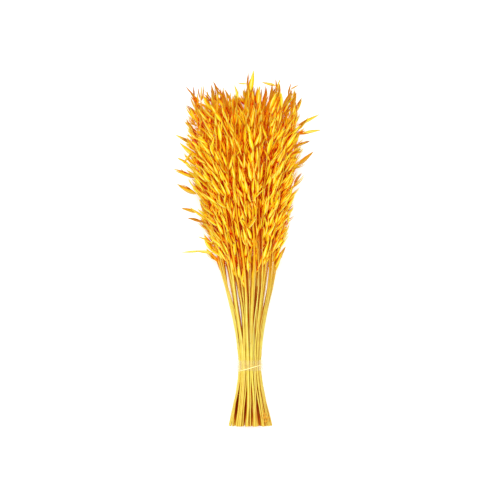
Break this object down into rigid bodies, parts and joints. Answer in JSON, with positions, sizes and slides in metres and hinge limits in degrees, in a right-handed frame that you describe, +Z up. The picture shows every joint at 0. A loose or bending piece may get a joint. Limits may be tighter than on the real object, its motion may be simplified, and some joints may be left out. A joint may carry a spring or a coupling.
{
  "type": "dried oats bundle",
  "caption": "Bunch of dried oat stalks lying on its side, bound near the cut ends by a clear film band, with the panicles fanned out into a bushy golden head.",
  "frame": {"origin": "centre of the bunch's bounding box in plan, at the height of the surface that it lies on", "axes": "+Y along the bunch from the cut ends to the head, +Z up from the surface, +X across, to the right of someone who looks from the cut ends towards the head"},
  "size_m": [0.2726, 0.65, 0.1417],
  "materials": {
    "dried_oats": "matt, dried straw and husk",
    "clear_film": "clear, glossy",
    "twisted_film": "pale, glossy"
  },
  "bodies": {
    "root": {"oat_stalks_01": "dried_oats", "oat_stalks_02": "dried_oats", "oat_stalks_03": "dried_oats", "oat_stalks_04": "dried_oats", "oat_stalks_05": "dried_oats", "oat_stalks_06": "dried_oats", "oat_stalks_07": "dried_oats", "oat_stalks_08": "dried_oats", "oat_stalks_09": "dried_oats", "oat_stalks_10": "dried_oats", "oat_stalks_11": "dried_oats", "oat_stalks_12": "dried_oats", "oat_stalks_13": "dried_oats", "oat_stalks_14": "dried_oats", "oat_stalks_15": "dried_oats", "oat_stalks_16": "dried_oats", "oat_stalks_17": "dried_oats", "oat_stalks_18": "dried_oats", "oat_stalks_19": "dried_oats", "oat_stalks_20": "dried_oats", "oat_stalks_21": "dried_oats", "oat_stalks_22": "dried_oats", "oat_stalks_23": "dried_oats", "oat_stalks_24": "dried_oats", "oat_stalks_25": "dried_oats", "oat_stalks_26": "dried_oats", "oat_stalks_27": "dried_oats", "oat_stalks_28": "dried_oats", "oat_stalks_29": "dried_oats", "oat_stalks_30": "dried_oats", "oat_stalks_31": "dried_oats", "oat_stalks_32": "dried_oats", "oat_stalks_33": "dried_oats", "oat_stalks_34": "dried_oats", "oat_stalks_35": "dried_oats", "oat_stalks_36": "dried_oats", "oat_stalks_37": "dried_oats", "oat_stalks_38": "dried_oats", "oat_stalks_39": "dried_oats", "oat_stalks_40": "dried_oats", "oat_stalks_41": "dried_oats", "oat_stalks_42": "dried_oats", "oat_stalks_43": "dried_oats", "oat_stalks_44": "dried_oats", "oat_stalks_45": "dried_oats", "oat_stalks_46": "dried_oats", "oat_stalks_47": "dried_oats", "oat_stalks_48": "dried_oats", "oat_stalks_49": "dried_oats", "oat_stalks_50": "dried_oats", "oat_stalks_51": "dried_oats", "oat_stalks_52": "dried_oats", "oat_stalks_53": "dried_oats", "tie_band": "clear_film", "tie_strand": "twisted_film"}
  },
  "joints": []
}
